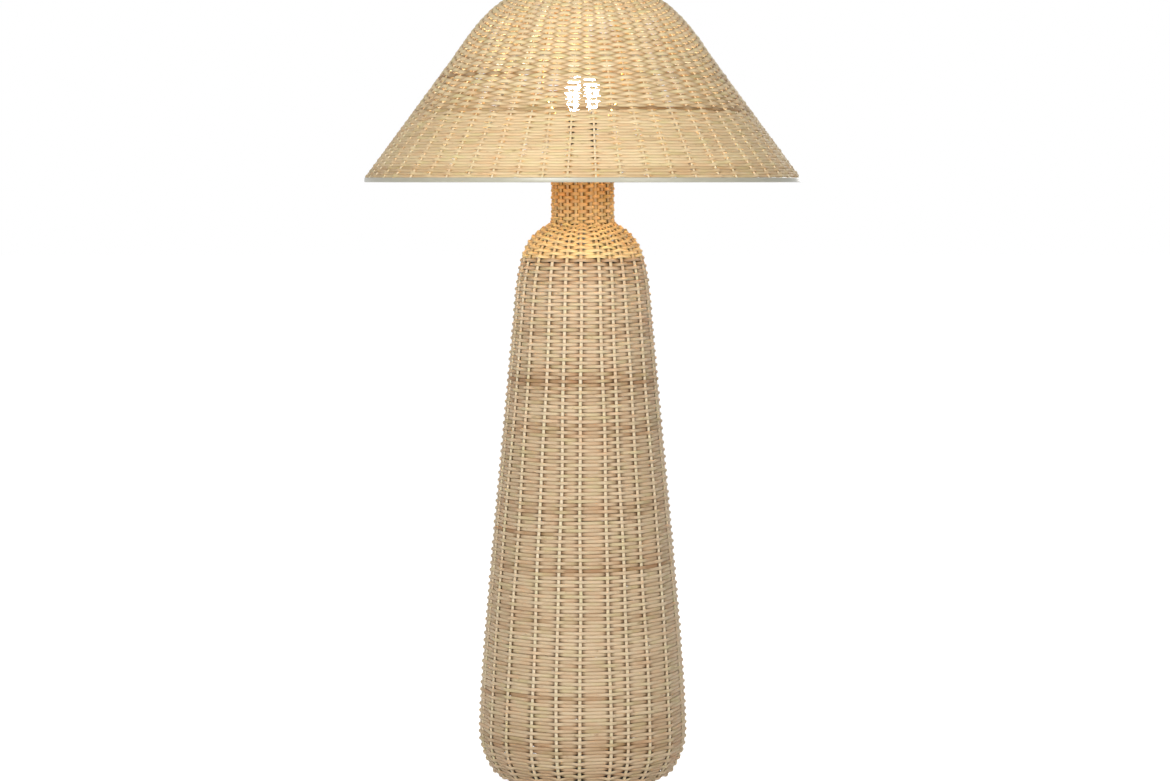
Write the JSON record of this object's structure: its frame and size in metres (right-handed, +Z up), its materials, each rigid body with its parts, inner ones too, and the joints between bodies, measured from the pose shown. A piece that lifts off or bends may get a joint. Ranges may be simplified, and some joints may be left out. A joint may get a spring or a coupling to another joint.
{
  "type": "floor lamp",
  "caption": "Rattan floor lamp: woven bottle-shaped stand with a narrow neck under a wide woven cone shade with a domed top, lit by a frosted bulb.",
  "frame": {"origin": "middle of the foot, on the floor", "axes": "+Z up along the lamp's axis, -Y to the front, +X to the right seen from the front"},
  "size_m": [0.65, 0.65, 1.2171],
  "materials": {
    "body_rattan": "natural round reed, lightly lacquered, satin",
    "shade_rattan": "pale natural round reed, satin, lit from behind",
    "painted_hoop": "off-white paint, satin",
    "black_wire": "black paint, matt",
    "ballast_iron": "dark painted iron, matt",
    "zinc_steel": "zinc plated",
    "brass": "lacquered brass, satin",
    "black_moulding": "moulded phenolic, satin",
    "holder_ceramic": "unglazed white ceramic",
    "bulb_metal": "bright nickel plated",
    "bulb_insulator": "black glass, gloss",
    "bulb_plastic": "white plastic, satin",
    "bulb_globe": "frosted glass, lit warm white",
    "felt": "dark felt",
    "black_rubber": "matt rubber"
  },
  "bodies": {
    "stand": {"felt_pad": "felt", "ballast_plate": "ballast_iron", "plate_screw_1": "zinc_steel", "plate_screw_2": "zinc_steel", "plate_screw_3": "zinc_steel", "foot_border": "body_rattan", "body_frame": "black_wire", "body_skin": "body_rattan", "neck_skin": "body_rattan", "cord_grommet": "black_rubber", "centre_tube": "zinc_steel", "lower_nipple": "zinc_steel", "lower_washer": "zinc_steel", "lower_nut": "zinc_steel", "upper_nipple": "zinc_steel", "neck_cap": "brass", "harp_saddle": "brass", "saddle_nut": "zinc_steel", "harp": "brass", "socket_cup": "black_moulding", "socket_collar": "black_moulding", "socket_insert": "holder_ceramic", "socket_screw_shell": "brass", "socket_contact": "brass"},
    "sleeve_left": {"harp_sleeve_left": "brass"},
    "sleeve_right": {"harp_sleeve_right": "brass"},
    "bulb_tip": {"bulb_contact": "bulb_metal"},
    "bulb": {"bulb_insulator": "bulb_insulator", "bulb_base": "bulb_metal", "bulb_collar": "bulb_plastic", "bulb_led_board": "bulb_plastic", "bulb_globe": "bulb_globe"},
    "shade": {"shade_skin": "shade_rattan", "shade_hoop": "painted_hoop", "shade_cage": "painted_hoop", "shade_spider": "painted_hoop"},
    "finial": {"finial": "brass", "finial_washer": "brass"}
  },
  "joints": [
    {"name": "sleeve_left_lift", "type": "slide", "parent": "stand", "child": "sleeve_left", "axis": [0, 0, 1], "range_m": [0, 0.016]},
    {"name": "sleeve_right_lift", "type": "slide", "parent": "stand", "child": "sleeve_right", "axis": [0, 0, 1], "range_m": [0, 0.016]},
    {"name": "bulb_rise", "type": "slide", "parent": "stand", "child": "bulb_tip", "axis": [0, 0, 1], "range_m": [0, 0.0109]},
    {"name": "bulb_turn", "type": "hinge", "parent": "bulb_tip", "child": "bulb", "pos_m": [0, 0, 1], "axis": [0, 0, 1], "range_deg": [0, 1080]},
    {"name": "shade_turn", "type": "hinge", "parent": "stand", "child": "shade", "pos_m": [0, 0, 1.187], "axis": [0, 0, 1], "continuous": true},
    {"name": "finial_turn", "type": "hinge", "parent": "stand", "child": "finial", "pos_m": [0, 0, 1.2], "axis": [0, 0, 1], "range_deg": [0, 1080]}
  ],
  "couplings": [
    {"joint": "bulb_rise", "follows": "bulb_turn", "m_per_rad": 0.0005774}
  ]
}
